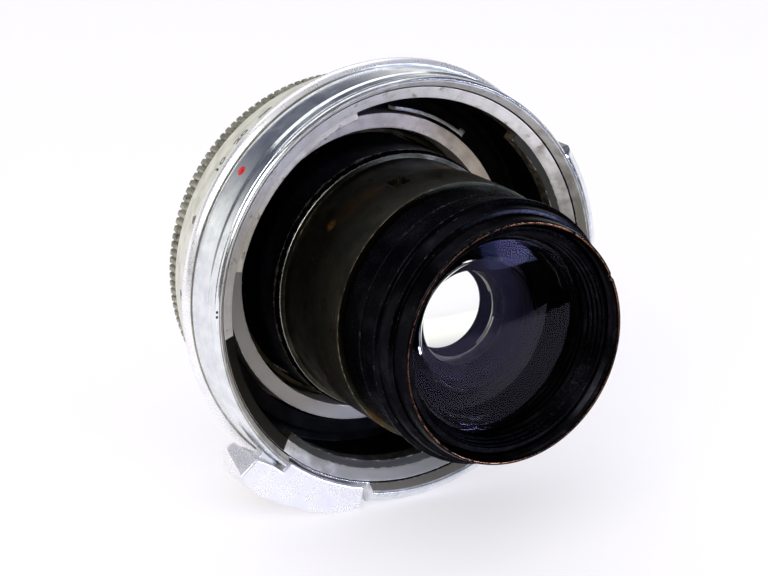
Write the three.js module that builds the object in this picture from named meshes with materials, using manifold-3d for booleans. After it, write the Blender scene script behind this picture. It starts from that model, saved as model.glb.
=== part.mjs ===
// Wide-angle camera lens with an outer bayonet mount, lying on its side.
// Millimetres. The optical axis runs along Y, with the rear of the lens towards -Y.
// +Z is up, and z = 0 is the table.
// Axial positions below are distances forward of the rear rim. Angles are degrees seen from the rear,
// anticlockwise from +X towards +Z.
import * as THREE from 'three';
import * as BufferGeometryUtils from 'three/addons/utils/BufferGeometryUtils.js';
import Module from 'manifold-3d';

const wasm = await Module();
wasm.setup();

// ---- Driving dimensions ----
const LENGTH = 40.5; // rear rim to front rim
const HALF = LENGTH / 2;
const OUTER_SEGMENTS = 44;
const INNER_SEGMENTS = 30;
const GLASS_SEGMENTS = 18;

const RIM_START = 21.4; // rear edge of the mount shell
const SHELL_RADIUS = 24.35;
const GUARD_RADIUS = 25.35; // thicker part of the shell, below the step
const GUARD_ANGLES = [-102.5, 33];
const AXIS_HEIGHT = GUARD_RADIUS * Math.cos(Math.PI / OUTER_SEGMENTS); // optical axis above the table
const SHELL_END = 27.1;
const DOT_AXIAL = 25.5; // red mark let into the shell
const DOT_ANGLE = 141;
const WELL_RADIUS = 21.5;
const WEB_START = 33;
const WEB_END = 33.7;
const SCREW_CIRCLE = 20.3; // screws that hold the helicoid housing to the well floor
const SCREW_ANGLES = [-20, 100, 220];

const STOP_CIRCLE = 20.95; // pins that end the focusing throw
const STOP_TAB_ANGLE = 200;
const FOCUS_TO_INFINITY = 17;
const FOCUS_TO_NEAR = -183;
const STOP_MARGIN = 5.4;
const STOP_ANGLES = [
  STOP_TAB_ANGLE + FOCUS_TO_INFINITY + STOP_MARGIN,
  STOP_TAB_ANGLE + FOCUS_TO_NEAR - STOP_MARGIN,
];

const LUG_COUNT = 3;
const LUG_SPAN = 61;
const LUG_END_ANGLE = 167;
const LUG_RADIUS = 20.3;

const LEVER_WINDOW = [-131.5, -102.5];
const LEVER_PIVOT = { radius: 25.9, angle: -134 };
const LEVER_FROM = 22;
const LEVER_TO = 26.9;
const EAR_FROM = 23.5;
const EAR_TO = 25.1;
const PIN_RADIUS = 0.6;

const BEAD_RADIUS = 25.3;
const BEAD_START = 27.6;
const GRIP_RADIUS = 21.7;
const GRIP_FROM = 37;
const GRIP_TO = 40.2;
const KNURL_TEETH = 144;
const KNURL_DEPTH = 0.4;

const NUT_FACE = 31;
const NUT_INNER = 16.45;
const NUT_OUTER = 18.15;
const TONGUE_ANGLES = [49, 81];
const FOCUS_SCREW_CIRCLE = 19.45;
const FOCUS_SCREW_ANGLES = [40, 160, 280];

const BARREL_RADIUS = 14.6;
const BARREL_BORE = 13.4;
const REAR_RIM_RADIUS = 13.25;
const KEY_ANGLE = -35; // guide key that stops the barrel turning
const NOTCH_ANGLES = [103, 110];

const BLADE_COUNT = 5;
const BLADE_STEP = 360 / BLADE_COUNT;
const BLADE_PIVOT = 9.2;
const BLADE_INNER = 5.3;
const BLADE_OUTER = 8;
const BLADE_ARC = 112;
const BLADE_THICK = 0.24;
const BLADE_PITCH = 0.5;
const BLADE_FIRST = 14.1;
const BLADE_SWING = 28;
const CAM_SWING = 45;
const CAM_PIN = { radius: 10.4, angle: -14 };
const BLADE_PIN_RADIUS = 0.35;
const IRIS_OPENING = 5.6; // hole in the plate behind the blades
const STOP_OPENING = 5.1; // full aperture, in the cover ahead of the blades
const CAM_FROM = 16.9;
const CAM_TO = 17.5;

const ROD_RADIUS = 0.4;
const ROD_CIRCLE = 12.5;
const ROD_ANGLE = 70;

const group = new THREE.Group();
group.name = 'outer_bayonet_lens';

const MATERIALS = {
  chrome: { color: 0xd9dadb, metalness: 1, roughness: 0.18 },
  satin: { color: 0xe6e3d4, metalness: 0.6, roughness: 0.5 },
  knurl: { color: 0xb9b7a2, metalness: 0.8, roughness: 0.45 },
  steel: { color: 0x9a9890, metalness: 1, roughness: 0.4 },
  raw: { color: 0xb8aea0, metalness: 0.8, roughness: 0.55 },
  olive: { color: 0x2c2b20, metalness: 0.7, roughness: 0.45 },
  black: { color: 0x111114, metalness: 0.5, roughness: 0.45 },
  brass: { color: 0xa98a4a, metalness: 1, roughness: 0.35 },
  glass: { color: 0x38406a, metalness: 0, roughness: 0.05, transparent: true, opacity: 0.4 },
  red: { color: 0xc01822, metalness: 0, roughness: 0.4 },
};

function add(name, geometry, material) {
  const mesh = new THREE.Mesh(geometry, new THREE.MeshStandardMaterial(MATERIALS[material]));
  mesh.name = name;
  mesh.geometry.computeVertexNormals();
  group.add(mesh);
  return mesh;
}

function polar(radius, angle) {
  const t = THREE.MathUtils.degToRad(angle);
  return [radius * Math.cos(t), radius * Math.sin(t)];
}

// Turned ring: a closed profile of [axial position, radius] points.
function turned(profile, segments) {
  const points = profile.map(([a, r]) => new THREE.Vector2(r, a - HALF));
  points.push(points[0].clone());
  const geometry = new THREE.LatheGeometry(points, segments);
  geometry.rotateY(Math.PI / segments);
  geometry.translate(0, 0, AXIS_HEIGHT);
  return geometry;
}

// Plain tube from one axial position to another.
function tube(from, to, inner, outer, segments) {
  return turned([[from, inner], [from, outer], [to, outer], [to, inner]], segments);
}

// Flat prism: an outline of [x, z] points about the axis, between two axial positions.
function plate(outline, holes, from, to) {
  const shape = new THREE.Shape(outline.map(([x, z]) => new THREE.Vector2(x, z)));
  for (const hole of holes) {
    shape.holes.push(new THREE.Path(hole.map(([x, z]) => new THREE.Vector2(x, z))));
  }
  const geometry = new THREE.ExtrudeGeometry(shape, { depth: to - from, bevelEnabled: false, steps: 1 });
  geometry.rotateX(Math.PI / 2);
  geometry.translate(0, to - HALF, AXIS_HEIGHT);
  return geometry;
}

function circle([cx, cz], radius, count) {
  const points = [];
  for (let i = 0; i < count; i += 1) {
    const [x, z] = polar(radius, (360 * i) / count);
    points.push([cx + x, cz + z]);
  }
  return points;
}

function arc(radius, from, to, steps) {
  const points = [];
  for (let i = 0; i <= steps; i += 1) {
    points.push(polar(radius, from + ((to - from) * i) / steps));
  }
  return points;
}

function sectorOutline(inner, outer, from, to, steps) {
  return [...arc(outer, from, to, steps), ...arc(inner, to, from, steps)];
}

function sector(inner, outer, from, to, start, end, steps) {
  return plate(sectorOutline(inner, outer, from, to, steps), [], start, end);
}

// Axial pin or rod.
function pin(centre, radius, from, to, count) {
  return plate(circle(centre, radius, count), [], from, to);
}

function solid(geometry) {
  const copy = geometry.clone();
  copy.deleteAttribute('normal');
  copy.deleteAttribute('uv');
  const merged = BufferGeometryUtils.mergeVertices(copy, 1e-4);
  return new wasm.Manifold(new wasm.Mesh({
    numProp: 3,
    vertProperties: new Float32Array(merged.attributes.position.array),
    triVerts: new Uint32Array(merged.index.array),
  }));
}

function geometryOf(manifold) {
  const mesh = manifold.getMesh();
  const geometry = new THREE.BufferGeometry();
  geometry.setAttribute('position', new THREE.BufferAttribute(new Float32Array(mesh.vertProperties), 3));
  geometry.setIndex(new THREE.BufferAttribute(new Uint32Array(mesh.triVerts), 1));
  return geometry;
}

function join(first, ...others) {
  return others.reduce((sum, g) => sum.add(solid(g)), solid(first));
}

function cut(base, ...cutters) {
  return cutters.reduce((rest, g) => rest.subtract(solid(g)), base);
}

// Lens element: front and rear spherical faces given by apex position and signed radius
// (positive when the centre of curvature is forward of the apex).
function element(rearApex, rearRadius, frontApex, frontRadius, edge) {
  const rings = 3;
  const sag = (radius, r) => Math.sign(radius) * (Math.abs(radius) - Math.sqrt(radius * radius - r * r));
  const profile = [];
  for (let i = 0; i <= rings; i += 1) {
    const r = (edge * i) / rings;
    profile.push(new THREE.Vector2(r, rearApex + sag(rearRadius, r) - HALF));
  }
  for (let i = rings; i >= 0; i -= 1) {
    const r = (edge * i) / rings;
    profile.push(new THREE.Vector2(r, frontApex + sag(frontRadius, r) - HALF));
  }
  const geometry = new THREE.LatheGeometry(profile, GLASS_SEGMENTS);
  geometry.translate(0, 0, AXIS_HEIGHT);
  return geometry;
}

// ---- Mount: shell, bayonet and lever ----
function makeShell() {
  const body = turned([
    [RIM_START + 1, 23],
    [RIM_START, 23.7],
    [RIM_START, 24.1],
    [RIM_START + 0.3, SHELL_RADIUS],
    [SHELL_END, SHELL_RADIUS],
    [SHELL_END, 22.1],
    [WEB_END, 22.1],
    [WEB_END, 19.45],
    [WEB_START, 19.45],
    [WEB_START, WELL_RADIUS],
    [25.9, WELL_RADIUS],
    [25.9, 23],
  ], OUTER_SEGMENTS);
  const guardRing = turned([
    [RIM_START + 0.2, 23.8],
    [22.6, GUARD_RADIUS],
    [SHELL_END, GUARD_RADIUS],
    [SHELL_END, 23.8],
  ], OUTER_SEGMENTS);
  const guardWedge = plate([[0, 0], ...arc(40, GUARD_ANGLES[0], GUARD_ANGLES[1], 6)], [], 20, 28);
  const guard = solid(guardRing).intersect(solid(guardWedge));
  const window = sector(23.02, 32, LEVER_WINDOW[0], LEVER_WINDOW[1], 20, SHELL_END + 1, 12);
  const pivot = polar(LEVER_PIVOT.radius, LEVER_PIVOT.angle);
  const ear = plate([
    polar(24, LEVER_PIVOT.angle - 3.2),
    polar(24, LEVER_PIVOT.angle + 2.4),
    polar(26, LEVER_PIVOT.angle + 2.4),
    polar(27, LEVER_PIVOT.angle + 1.2),
    polar(27, LEVER_PIVOT.angle - 1.2),
    polar(26, LEVER_PIVOT.angle - 3.2),
  ], [], EAR_FROM, EAR_TO);
  const earHole = pin(pivot, PIN_RADIUS + 0.2, EAR_FROM - 1, EAR_TO + 1, 12);
  const dotHole = radialPin(23.6, 25, DOT_AXIAL, DOT_ANGLE, 0.75, 12);
  const webHole = (circleRadius, angle, radius) => (
    pin(polar(circleRadius, angle), radius, WEB_START - 1, WEB_END + 1, 10)
  );
  const screwHoles = SCREW_ANGLES.map((angle) => webHole(SCREW_CIRCLE, angle, 0.75));
  const stopHoles = STOP_ANGLES.map((angle) => webHole(STOP_CIRCLE, angle, 0.65));
  const blank = solid(body).add(guard).add(solid(ear));
  return geometryOf(cut(blank, window, earHole, dotHole, ...screwHoles, ...stopHoles));
}

// Short cylinder standing radially at an axial position and angle.
function radialPin(inner, outer, axial, angle, radius, count) {
  const geometry = new THREE.CylinderGeometry(radius, radius, outer - inner, count);
  geometry.rotateZ(-Math.PI / 2);
  geometry.translate((outer + inner) / 2, 0, 0);
  geometry.rotateY(-THREE.MathUtils.degToRad(angle));
  geometry.translate(0, axial - HALF, AXIS_HEIGHT);
  return geometry;
}

add('mount_shell', makeShell(), 'chrome');

function makeBayonet() {
  const ring = turned([
    [22.6, 22.7],
    [25.5, 22.7],
    [25.5, 21.5],
    [23.2, 21.5],
  ], OUTER_SEGMENTS);
  const lugs = [];
  for (let i = 0; i < LUG_COUNT; i += 1) {
    const end = LUG_END_ANGLE - (360 * i) / LUG_COUNT;
    lugs.push(sector(LUG_RADIUS, 22, end - LUG_SPAN, end, 23.35, 25.2, 8));
  }
  return geometryOf(join(ring, ...lugs));
}

add('bayonet_ring', makeBayonet(), 'steel');
add('index_dot', radialPin(23.85, 24.55, DOT_AXIAL, DOT_ANGLE, 0.5, 12), 'red');

function makeLever() {
  const outerEdge = [
    polar(27, -144.5),
    polar(28.45, -138),
    polar(28.5, -134),
    polar(28.15, -128),
    polar(27.7, -121.5),
    polar(27.4, -115.5),
    polar(26.88, -110),
    polar(25.9, -104.3),
  ];
  const innerEdge = arc(23.35, -104.1, -130.4, 5);
  const shortArm = [
    polar(24.7, -130.7),
    polar(24.75, -134),
    polar(25.1, -137.5),
    polar(26.2, -141),
    polar(26.1, -144.6),
  ];
  const outline = [...outerEdge, ...innerEdge, ...shortArm];
  const blank = plate(outline, [], LEVER_FROM, LEVER_TO);
  const pivot = polar(LEVER_PIVOT.radius, LEVER_PIVOT.angle);
  const slot = plate([
    polar(23, LEVER_PIVOT.angle - 4),
    polar(23, LEVER_PIVOT.angle + 3.4),
    polar(27.5, LEVER_PIVOT.angle + 3.4),
    polar(27.5, LEVER_PIVOT.angle - 4),
  ], [], EAR_FROM - 0.35, EAR_TO + 0.35);
  const hole = pin(pivot, PIN_RADIUS + 0.2, LEVER_FROM - 1, LEVER_TO + 1, 12);
  return geometryOf(cut(solid(blank), slot, hole));
}

add('lock_lever', makeLever(), 'chrome');
const leverAxis = polar(LEVER_PIVOT.radius, LEVER_PIVOT.angle);
add('lever_pin', pin(leverAxis, PIN_RADIUS, LEVER_FROM + 0.2, LEVER_TO - 0.2, 12), 'steel');

// Leaf spring standing in the lever window, behind the long arm.
add('lever_spring', sector(23.12, 23.2, -126, -110, 22.9, 25.6, 6), 'steel');

// ---- Fixed helicoid housing and its fixings ----
add('helicoid_housing', geometryOf(cut(
  solid(tube(34, 35.5, 19.45, 21.05, INNER_SEGMENTS)),
  ...SCREW_ANGLES.map((angle) => pin(polar(SCREW_CIRCLE, angle), 0.75, 33, 36, 10)),
)), 'black');
SCREW_ANGLES.forEach((angle, i) => {
  add(`housing_screw_${i + 1}`, pin(polar(SCREW_CIRCLE, angle), 0.5, 32.8, 35.3, 12), 'steel');
});
const STOP_NAMES = ['stop_pin_far', 'stop_pin_near'];
STOP_ANGLES.forEach((angle, i) => {
  add(STOP_NAMES[i], pin(polar(STOP_CIRCLE, angle), 0.4, 31.7, 33.6, 10), 'steel');
});

// Guide key: reaches from the well wall into the keyway of the main barrel.
function keyBlock(inner, outer, width, from, to) {
  const half = width / 2;
  const corners = [[inner, -half], [outer, -half], [outer, half], [inner, half]];
  const t = THREE.MathUtils.degToRad(KEY_ANGLE);
  const turnedCorners = corners.map(([x, z]) => [
    x * Math.cos(t) - z * Math.sin(t),
    x * Math.sin(t) + z * Math.cos(t),
  ]);
  return plate(turnedCorners, [], from, to);
}
add('guide_key', keyBlock(14.9, 21.1, 2.4, 28, 30.2), 'steel');

// ---- Focusing group ----
add('scale_ring', turned([
  [BEAD_START, 22.45],
  [BEAD_START, 24.9],
  [BEAD_START + 0.25, BEAD_RADIUS],
  [BEAD_START + 0.75, BEAD_RADIUS],
  [BEAD_START + 0.95, 24.85],
  [36.8, 21.9],
  [36.8, 18.5],
  [36, 18.5],
  [36, 21.2],
  [34.2, 21.4],
  [34, 22.45],
], OUTER_SEGMENTS), 'satin');

function makeGrip() {
  const outline = [];
  for (let i = 0; i < KNURL_TEETH * 2; i += 1) {
    const radius = i % 2 === 0 ? GRIP_RADIUS : GRIP_RADIUS - KNURL_DEPTH;
    outline.push(polar(radius, (360 * i) / (KNURL_TEETH * 2)));
  }
  return plate(outline, [circle([0, 0], 20.95, OUTER_SEGMENTS)], GRIP_FROM, GRIP_TO);
}

add('grip_ring', makeGrip(), 'knurl');

add('focus_nut', geometryOf(cut(
  solid(turned([
    [NUT_FACE, NUT_INNER],
    [NUT_FACE, NUT_OUTER],
    [37.1, NUT_OUTER],
    [37.1, 20.6],
    [37.8, 20.6],
    [37.8, NUT_INNER],
  ], INNER_SEGMENTS)),
  ...FOCUS_SCREW_ANGLES.map((angle) => pin(polar(FOCUS_SCREW_CIRCLE, angle), 0.7, 36.5, 39, 10)),
)), 'raw');
FOCUS_SCREW_ANGLES.forEach((angle, i) => {
  const centre = polar(FOCUS_SCREW_CIRCLE, angle);
  const shank = pin(centre, 0.45, 37, 37.95, 10);
  const head = pin(centre, 0.85, 37.95, 38.4, 12);
  add(`focus_screw_${i + 1}`, geometryOf(join(shank, head)), 'steel');
});

add('coupling_ring', geometryOf(join(
  turned([
    [32, 18.45],
    [32, 20.3],
    [32.6, 20.3],
    [32.6, 19.1],
    [35.7, 19.1],
    [35.7, 18.45],
  ], INNER_SEGMENTS),
  sector(18.45, 19.1, TONGUE_ANGLES[0], TONGUE_ANGLES[1], NUT_FACE, 33, 8),
  sector(19.8, 21.2, STOP_TAB_ANGLE - 3, STOP_TAB_ANGLE + 3, 32, 32.6, 2),
)), 'brass');

// ---- Optical barrel ----
function makeBarrel() {
  const body = turned([
    [12.1, BARREL_BORE],
    [12.1, BARREL_RADIUS],
    [18.5, BARREL_RADIUS],
    [18.7, 14.35],
    [24.8, 14.35],
    [24.9, 14.85],
    [25.7, 15.15],
    [38.2, 15.15],
    [38.2, BARREL_BORE],
  ], INNER_SEGMENTS);
  const keyway = keyBlock(14.55, 16, 3, 24.9, 33);
  const notch = sector(13, 16, NOTCH_ANGLES[0], NOTCH_ANGLES[1], 16.4, 19.2, 2);
  return geometryOf(cut(solid(body), keyway, notch));
}

add('main_barrel', makeBarrel(), 'olive');
add('helicoid_sleeve', tube(33.3, 38.2, 15.45, 16.15, INNER_SEGMENTS), 'brass');

add('rear_cell', turned([
  [0, 12.3],
  [0, REAR_RIM_RADIUS - 0.15],
  [0.3, REAR_RIM_RADIUS + 0.1],
  [2.5, 13.5],
  [2.6, 14],
  [4.2, 14.2],
  [4.4, BARREL_RADIUS],
  [5, BARREL_RADIUS],
  [5.3, 14.1],
  [11.8, 14.1],
  [11.8, 13],
  [12.8, 13],
  [12.8, 8],
  [9, 8],
  [8.4, 11.8],
  [3.2, 11.8],
  [3.2, 12.3],
], INNER_SEGMENTS), 'black');
add('rear_retainer', turned([
  [0.9, 11.9],
  [2.9, 11.9],
  [2.9, 11.5],
  [3.9, 11.5],
  [3.9, 10.6],
  [0.9, 11.6],
], INNER_SEGMENTS), 'black');
add('rear_glass', element(3.55, 60, 5.4, 30, 10.3), 'glass');
add('rear_doublet_outer', element(8.9, -60, 10.2, 24, 7.6), 'glass');
add('rear_doublet_inner', element(10.5, 24, 12.7, -60, 7.6), 'glass');

// ---- Iris ----
const bladeAngle = (i) => 90 + BLADE_STEP * i;

function rotated(points, angle) {
  const t = THREE.MathUtils.degToRad(angle);
  return points.map(([x, z]) => [x * Math.cos(t) - z * Math.sin(t), x * Math.sin(t) + z * Math.cos(t)]);
}

const bladeIndexes = Array.from({ length: BLADE_COUNT }, (_, i) => i);
const pivotHoles = bladeIndexes.map((i) => pin(polar(BLADE_PIVOT, bladeAngle(i)), 0.6, 12.5, 14.5, 10));
const irisDisc = solid(tube(13.1, 13.7, IRIS_OPENING, 13.1, INNER_SEGMENTS));
add('iris_plate', geometryOf(cut(irisDisc, ...pivotHoles)), 'black');

function makeBlade(i) {
  const start = BLADE_FIRST + BLADE_PITCH * i;
  const end = start + BLADE_THICK;
  const angle = bladeAngle(i);
  const camPin = rotated([polar(CAM_PIN.radius, CAM_PIN.angle)], angle)[0];
  const pivot = polar(BLADE_PIVOT, angle);
  const bandOutline = sectorOutline(BLADE_INNER, BLADE_OUTER, 0, BLADE_ARC, 10);
  const tailOutline = [
    polar(CAM_PIN.radius - 1, CAM_PIN.angle + 3),
    polar(CAM_PIN.radius - 0.4, CAM_PIN.angle - 3.4),
    polar(CAM_PIN.radius + 0.7, CAM_PIN.angle),
    polar(BLADE_PIVOT + 0.7, 4),
    polar(7, 9),
    polar(7, 0.5),
  ];
  const band = plate(rotated(bandOutline, angle), [], start, end);
  const tail = plate(rotated(tailOutline, angle), [], start, end);
  const pivotPin = pin(pivot, BLADE_PIN_RADIUS, 13.3, start + BLADE_THICK / 2, 8);
  const drivePin = pin(camPin, BLADE_PIN_RADIUS, start + BLADE_THICK / 2, CAM_TO - 0.1, 8);
  return geometryOf(join(band, tail, pivotPin, drivePin));
}

for (let i = 0; i < BLADE_COUNT; i += 1) {
  add(`iris_blade_${i + 1}`, makeBlade(i), 'steel');
}

// Path of a blade's drive pin as the cam ring sees it, widened into a slot outline.
function camSlot(angle) {
  const steps = 6;
  const halfWidth = 0.6;
  const path = [];
  for (let i = -1; i <= steps + 1; i += 1) {
    const part = i / steps;
    const swing = THREE.MathUtils.degToRad(BLADE_SWING * part);
    const [px, pz] = polar(CAM_PIN.radius, CAM_PIN.angle);
    const dx = px - BLADE_PIVOT;
    const x = BLADE_PIVOT + dx * Math.cos(swing) - pz * Math.sin(swing);
    const z = dx * Math.sin(swing) + pz * Math.cos(swing);
    path.push(rotated([[x, z]], -CAM_SWING * part)[0]);
  }
  const left = [];
  const right = [];
  for (let i = 0; i < path.length; i += 1) {
    const before = path[Math.max(i - 1, 0)];
    const after = path[Math.min(i + 1, path.length - 1)];
    const dx = after[0] - before[0];
    const dz = after[1] - before[1];
    const size = Math.hypot(dx, dz);
    left.push([path[i][0] - (dz / size) * halfWidth, path[i][1] + (dx / size) * halfWidth]);
    right.push([path[i][0] + (dz / size) * halfWidth, path[i][1] - (dx / size) * halfWidth]);
  }
  return plate(rotated([...left, ...right.reverse()], angle), [], CAM_FROM - 1, CAM_TO + 1);
}

add('cam_ring', geometryOf(cut(
  solid(tube(CAM_FROM, CAM_TO, 9.5, 13, INNER_SEGMENTS)),
  ...bladeIndexes.map((i) => camSlot(bladeAngle(i))),
)), 'brass');
add('iris_cover', geometryOf(cut(
  solid(tube(18, 18.6, STOP_OPENING, 13.1, INNER_SEGMENTS)),
  sector(11.7, 14, ROD_ANGLE - 5, ROD_ANGLE + CAM_SWING + 5, 17, 20, 10),
)), 'black');
add('drive_rod', pin(polar(ROD_CIRCLE, ROD_ANGLE), ROD_RADIUS, 17.75, 39.2, 10), 'steel');

// ---- Front cell ----
add('front_cell', turned([
  [18.9, 8.3],
  [18.9, 9.4],
  [26, 11.6],
  [38.3, 11.6],
  [38.3, 11],
  [26.6, 11],
  [25.6, 8.3],
], INNER_SEGMENTS), 'black');
add('front_doublet_inner', element(19.4, 40, 22.4, -22, 8), 'glass');
add('front_doublet_outer', element(22.7, -22, 25.2, -22, 8), 'glass');
add('front_spacer', turned([
  [26.9, 9],
  [26.9, 10.7],
  [30, 10.7],
  [30, 10.1],
], GLASS_SEGMENTS), 'black');
add('front_glass', element(31, 60, 36.4, -24, 10.7), 'glass');
add('front_bezel', turned([
  [38.6, 10.9],
  [38.6, 11.7],
  [39.8, 11.7],
  [39.8, 11.4],
  [37, 10],
  [36, 10],
], INNER_SEGMENTS), 'black');
add('filter_rim', turned([
  [38.6, 14],
  [38.6, 20.6],
  [LENGTH, 20.6],
  [LENGTH, 19.95],
  [39.2, 19.95],
  [39.2, 14],
], OUTER_SEGMENTS), 'satin');
add('aperture_ring', geometryOf(join(
  turned([
    [39.5, 12.1],
    [39.5, 19.6],
    [39.9, 19.6],
    [40.2, 17],
    [40.2, 12.1],
  ], OUTER_SEGMENTS),
  sector(17.6, 19.2, 87, 93, 39.7, 40.45, 2),
)), 'black');

export default group;
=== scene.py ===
import math

import bmesh
import bpy
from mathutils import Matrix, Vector


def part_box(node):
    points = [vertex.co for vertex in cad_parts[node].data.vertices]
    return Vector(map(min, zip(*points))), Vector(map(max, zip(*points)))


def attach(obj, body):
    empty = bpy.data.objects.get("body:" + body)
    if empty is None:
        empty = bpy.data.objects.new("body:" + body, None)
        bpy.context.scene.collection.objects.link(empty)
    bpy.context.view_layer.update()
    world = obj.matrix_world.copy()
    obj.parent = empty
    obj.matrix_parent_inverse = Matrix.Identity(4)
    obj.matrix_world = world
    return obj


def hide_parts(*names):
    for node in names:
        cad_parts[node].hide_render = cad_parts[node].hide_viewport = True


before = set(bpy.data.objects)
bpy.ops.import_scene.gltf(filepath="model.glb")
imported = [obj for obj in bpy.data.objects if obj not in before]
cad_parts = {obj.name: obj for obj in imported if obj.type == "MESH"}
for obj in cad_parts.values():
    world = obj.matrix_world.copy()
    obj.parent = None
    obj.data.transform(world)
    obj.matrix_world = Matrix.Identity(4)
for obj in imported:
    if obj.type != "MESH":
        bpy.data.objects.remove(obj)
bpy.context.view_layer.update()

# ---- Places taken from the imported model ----
MM = 0.001
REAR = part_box("rear_cell")[0].y
AXIS_Z = (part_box("rear_cell")[0].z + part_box("rear_cell")[1].z) / 2
SEGMENTS = 240
FILLET_STEPS = 3
SUPPORT = 0.3  # mm from a corner over which wear fades
FILLET_SHARE = 0.42  # most of a side that one fillet may take
FADE_SHARE = 0.47


def place(a, r, angle):
    """Point at an axial position and radius in mm and an angle in degrees, in the row frame."""
    t = math.radians(angle)
    return Vector((r * MM * math.cos(t), REAR + a * MM, AXIS_Z + r * MM * math.sin(t)))


def spread(first, last, count):
    return [first + (last - first) * i / (count - 1) for i in range(count)]


# ---- Finishes ----
class Finish:
    """One procedural material, built from shader nodes. Lengths are in mm."""

    def __init__(self, name):
        self.material = bpy.data.materials.new(name)
        self.material.use_nodes = True
        self.tree = self.material.node_tree
        self.shader = self.tree.nodes["Principled BSDF"]

    @classmethod
    def of_world(cls, world):
        """The same helpers on a world's nodes."""
        made = cls.__new__(cls)
        made.tree = world.node_tree
        return made

    def feed(self, socket, value):
        if isinstance(value, bpy.types.NodeSocket):
            self.tree.links.new(value, socket)
        else:
            socket.default_value = value

    def node(self, kind, inputs=None, **settings):
        made = self.tree.nodes.new(kind)
        for key, value in settings.items():
            setattr(made, key, value)
        for key, value in (inputs or {}).items():
            self.feed(made.inputs[key], value)
        return made

    def math(self, operation, a, b=0.0, clamp=False):
        inputs = {0: a, 1: b}
        return self.node("ShaderNodeMath", inputs, operation=operation, use_clamp=clamp).outputs[0]

    def position(self):
        """Position on the part in mm, from its rear rim and axis."""
        raw = self.node("ShaderNodeTexCoord").outputs["Object"]
        shifted = self.node(
            "ShaderNodeVectorMath",
            {0: raw, 1: (0, -REAR, -AXIS_Z)},
            operation="ADD",
        ).outputs[0]
        return self.node("ShaderNodeVectorMath", {0: shifted, "Scale": 1000.0}, operation="SCALE").outputs[0]

    def turned(self, position, drift=0.02):
        """Coordinates for lathe marks: they change with radius and axial position, little round the axis."""
        parts = self.node("ShaderNodeSeparateXYZ", {0: position})
        x, a, z = parts.outputs[0], parts.outputs[1], parts.outputs[2]
        square = self.math("ADD", self.math("MULTIPLY", x, x), self.math("MULTIPLY", z, z))
        radius = self.math("SQRT", square)
        across = self.math("MULTIPLY", x, drift)
        return self.node("ShaderNodeCombineXYZ", {0: a, 1: radius, 2: across}).outputs[0]

    def noise(self, vector, scale, detail=3.0, roughness=0.55, distortion=0.0):
        return self.node("ShaderNodeTexNoise", {
            "Vector": vector,
            "Scale": scale,
            "Detail": detail,
            "Roughness": roughness,
            "Distortion": distortion,
        }).outputs["Fac"]

    def span(self, value, low, high, to_low=0.0, to_high=1.0):
        """Maps low..high smoothly to to_low..to_high, and holds the ends."""
        inputs = {0: value, 1: low, 2: high, 3: to_low, 4: to_high}
        return self.node("ShaderNodeMapRange", inputs, interpolation_type="SMOOTHSTEP").outputs[0]

    def mix(self, part, a, b):
        made = self.node("ShaderNodeMix", data_type="RGBA")
        self.feed(made.inputs[0], part)
        self.feed(made.inputs[6], a)
        self.feed(made.inputs[7], b)
        return made.outputs[2]

    def edge(self):
        return self.node("ShaderNodeAttribute", attribute_name="edge").outputs["Fac"]

    def near(self, position, spot, size):
        """1 at a spot on the part, fading to 0 over size mm."""
        away = self.node(
            "ShaderNodeVectorMath", {0: position, 1: spot}, operation="DISTANCE"
        ).outputs["Value"]
        return self.span(away, size * 0.35, size, 1.0, 0.0)

    def toward(self, position, angle):
        """Cosine of the angle round the axis between a point and a direction."""
        parts = self.node("ShaderNodeSeparateXYZ", {0: position})
        flat = self.node("ShaderNodeCombineXYZ", {0: parts.outputs[0], 2: parts.outputs[2]}).outputs[0]
        unit = self.node("ShaderNodeVectorMath", {0: flat}, operation="NORMALIZE").outputs[0]
        t = math.radians(angle)
        aim = {0: unit, 1: (math.cos(t), 0, math.sin(t))}
        return self.node("ShaderNodeVectorMath", aim, operation="DOT_PRODUCT").outputs["Value"]

    def bump(self, height, strength, distance=0.02):
        made = self.node("ShaderNodeBump", {
            "Height": height,
            "Strength": strength,
            "Distance": distance * MM,
        })
        self.feed(self.shader.inputs["Normal"], made.outputs[0])


def rgb(red, green, blue):
    """Colour from sRGB values 0-255, as linear light."""
    def linear(value):
        part = value / 255
        return part / 12.92 if part <= 0.04045 else ((part + 0.055) / 1.055) ** 2.4
    return (linear(red), linear(green), linear(blue), 1.0)


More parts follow.
